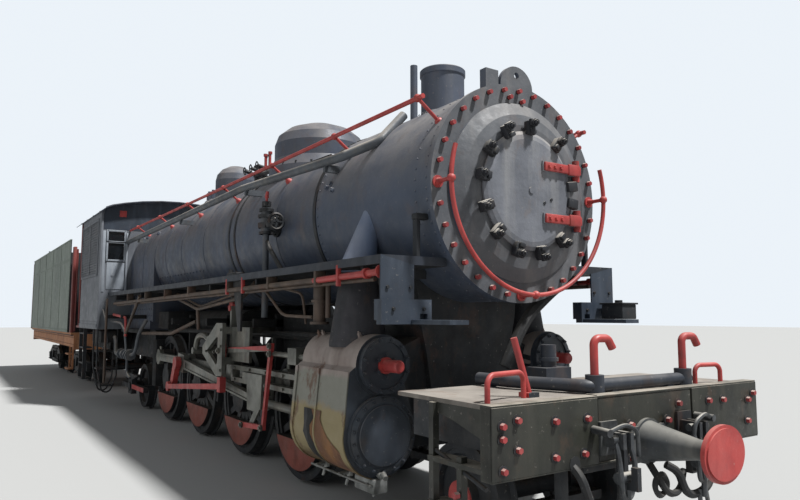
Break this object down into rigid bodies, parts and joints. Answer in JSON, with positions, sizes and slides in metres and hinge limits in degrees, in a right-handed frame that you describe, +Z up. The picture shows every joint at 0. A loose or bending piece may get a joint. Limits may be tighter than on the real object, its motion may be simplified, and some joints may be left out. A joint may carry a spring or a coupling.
{
  "type": "steam locomotive with tender",
  "caption": "Narrow gauge tender steam locomotive with leading and trailing trucks, coupled driving wheels, outside cylinders and a bogie tender.",
  "frame": {"origin": "bottom centre of the bounds, on the floor under the flanges of the wheels", "axes": "+X forward, to the front buffer; +Y to the engine's left; +Z up"},
  "size_m": [21.3, 2.62, 3.718],
  "materials": {
    "black_iron": "matt, oily",
    "worn_casing": "matt, rusted",
    "smokebox_black": "matt",
    "boiler_black": "satin, dusty",
    "worn_deck": "worn",
    "red_paint": "matt, faded",
    "grey_pipe": "matt",
    "bare_steel": "oily",
    "primer": "matt primer",
    "tank_paint": "matt"
  },
  "bodies": {
    "engine": {"frame": "black_iron", "cylinders": "worn_casing", "smokebox": "smokebox_black", "boiler_barrel": "boiler_black", "firebox": "boiler_black", "ashpan": "black_iron", "chimney": "smokebox_black", "domes": "boiler_black", "running_boards": "boiler_black", "front_deck": "worn_deck", "buffer_beam": "worn_deck", "front_buffer": "red_paint", "front_couplings": "black_iron", "front_hooks": "black_iron", "cab_walls": "boiler_black", "cab_roof": "boiler_black", "cab_floor": "black_iron", "cab_shutters": "boiler_black", "air_reservoir": "black_iron", "tail_rods": "red_paint", "cab_fittings": "red_paint", "boiler_handrails": "red_paint", "front_handrail": "red_paint", "boiler_pipes": "grey_pipe", "feed_gear": "grey_pipe", "steam_pipes": "grey_pipe", "guide_bars": "bare_steel", "valve_gear": "red_paint", "link_brackets": "bare_steel", "brake_gear": "black_iron", "engine_steps": "black_iron", "lamp_brackets": "worn_casing", "deck_fittings": "grey_pipe"},
    "smokebox_door": {"smokebox_door": "smokebox_black"},
    "lead_truck": {"lead_truck": "black_iron"},
    "lead_axle": {"lead_axle": "black_iron"},
    "trailing_truck": {"trailing_truck": "black_iron"},
    "trailing_axle": {"trailing_axle": "black_iron"},
    "driver_1": {"driver_axle_1": "black_iron"},
    "driver_2": {"driver_axle_2": "black_iron"},
    "driver_3": {"driver_axle_3": "black_iron"},
    "driver_4": {"driver_axle_4": "black_iron"},
    "side_rod_right": {"side_rod_right": "bare_steel"},
    "side_rod_left": {"side_rod_left": "bare_steel"},
    "main_rod_right": {"main_rod_right": "bare_steel"},
    "main_rod_left": {"main_rod_left": "bare_steel"},
    "crosshead_right": {"crosshead_right": "bare_steel"},
    "crosshead_left": {"crosshead_left": "bare_steel"},
    "tender": {"tender_frame": "primer", "tender_tank": "tank_paint", "tender_fittings": "red_paint", "rear_buffer": "red_paint", "rear_couplings": "black_iron", "rear_hooks": "black_iron"},
    "bogie_front": {"tender_bogie_front": "black_iron"},
    "bogie_rear": {"tender_bogie_rear": "black_iron"},
    "tender_axle_1": {"tender_axle_front_a": "black_iron"},
    "tender_axle_2": {"tender_axle_front_b": "black_iron"},
    "tender_axle_3": {"tender_axle_rear_a": "black_iron"},
    "tender_axle_4": {"tender_axle_rear_b": "black_iron"}
  },
  "joints": [
    {"name": "smokebox_door_hinge", "type": "hinge", "parent": "engine", "child": "smokebox_door", "pos_m": [9.266, 0.49, 2.434], "axis": [0, 0, 1], "range_deg": [0, 110]},
    {"name": "lead_truck_swivel", "type": "hinge", "parent": "engine", "child": "lead_truck", "pos_m": [7.838, 0, 0.383], "axis": [0, 0, 1], "range_deg": [-4, 4]},
    {"name": "lead_axle_turn", "type": "hinge", "parent": "lead_truck", "child": "lead_axle", "pos_m": [9.208, 0, 0.3835], "axis": [0, 1, 0], "continuous": true},
    {"name": "trailing_truck_swivel", "type": "hinge", "parent": "engine", "child": "trailing_truck", "pos_m": [1.838, 0, 0.393], "axis": [0, 0, 1], "range_deg": [-4, 4]},
    {"name": "trailing_axle_turn", "type": "hinge", "parent": "trailing_truck", "child": "trailing_axle", "pos_m": [0.838, 0, 0.3835], "axis": [0, 1, 0], "continuous": true},
    {"name": "driver_1_turn", "type": "hinge", "parent": "engine", "child": "driver_1", "pos_m": [6.838, 0, 0.6375], "axis": [0, 1, 0], "continuous": true},
    {"name": "driver_2_turn", "type": "hinge", "parent": "engine", "child": "driver_2", "pos_m": [5.338, 0, 0.6375], "axis": [0, 1, 0], "continuous": true},
    {"name": "driver_3_turn", "type": "hinge", "parent": "engine", "child": "driver_3", "pos_m": [3.838, 0, 0.6375], "axis": [0, 1, 0], "continuous": true},
    {"name": "driver_4_turn", "type": "hinge", "parent": "engine", "child": "driver_4", "pos_m": [2.338, 0, 0.6375], "axis": [0, 1, 0], "continuous": true},
    {"name": "side_rod_right_pin", "type": "hinge", "parent": "driver_3", "child": "side_rod_right", "pos_m": [3.838, -0.732, 0.9425], "axis": [0, 1, 0], "continuous": true},
    {"name": "side_rod_left_pin", "type": "hinge", "parent": "driver_3", "child": "side_rod_left", "pos_m": [3.533, 0.732, 0.6375], "axis": [0, 1, 0], "continuous": true},
    {"name": "crosshead_right_slide", "type": "slide", "parent": "engine", "child": "crosshead_right", "axis": [1, 0, 0], "range_m": [-0.296, 0.315]},
    {"name": "crosshead_left_slide", "type": "slide", "parent": "engine", "child": "crosshead_left", "axis": [1, 0, 0], "range_m": [0, 0.611]},
    {"name": "main_rod_right_swing", "type": "hinge", "parent": "crosshead_right", "child": "main_rod_right", "pos_m": [6.35802, -0.834, 0.718], "axis": [0, 1, 0], "range_deg": [-13.9, 0]},
    {"name": "main_rod_left_swing", "type": "hinge", "parent": "crosshead_left", "child": "main_rod_left", "pos_m": [6.06172, 0.834, 0.718], "axis": [0, 1, 0], "range_deg": [-6.9, 6.9]},
    {"name": "tender_drawbar", "type": "hinge", "parent": "engine", "child": "tender", "pos_m": [-1.642, 0, 0.828], "axis": [0, 0, 1], "range_deg": [-6, 6]},
    {"name": "bogie_front_swivel", "type": "hinge", "parent": "tender", "child": "bogie_front", "pos_m": [-4.262, 0, 0.728], "axis": [0, 0, 1], "range_deg": [-6, 6]},
    {"name": "bogie_rear_swivel", "type": "hinge", "parent": "tender", "child": "bogie_rear", "pos_m": [-8.412, 0, 0.728], "axis": [0, 0, 1], "range_deg": [-6, 6]},
    {"name": "tender_axle_1_turn", "type": "hinge", "parent": "bogie_front", "child": "tender_axle_1", "pos_m": [-3.487, 0, 0.409], "axis": [0, 1, 0], "continuous": true},
    {"name": "tender_axle_2_turn", "type": "hinge", "parent": "bogie_front", "child": "tender_axle_2", "pos_m": [-5.037, 0, 0.409], "axis": [0, 1, 0], "continuous": true},
    {"name": "tender_axle_3_turn", "type": "hinge", "parent": "bogie_rear", "child": "tender_axle_3", "pos_m": [-7.637, 0, 0.409], "axis": [0, 1, 0], "continuous": true},
    {"name": "tender_axle_4_turn", "type": "hinge", "parent": "bogie_rear", "child": "tender_axle_4", "pos_m": [-9.187, 0, 0.409], "axis": [0, 1, 0], "continuous": true}
  ],
  "couplings": [
    {"joint": "driver_1_turn", "follows": "driver_3_turn", "ratio": 1},
    {"joint": "driver_2_turn", "follows": "driver_3_turn", "ratio": 1},
    {"joint": "driver_4_turn", "follows": "driver_3_turn", "ratio": 1},
    {"joint": "side_rod_right_pin", "follows": "driver_3_turn", "ratio": -1},
    {"joint": "side_rod_left_pin", "follows": "driver_3_turn", "ratio": -1}
  ]
}
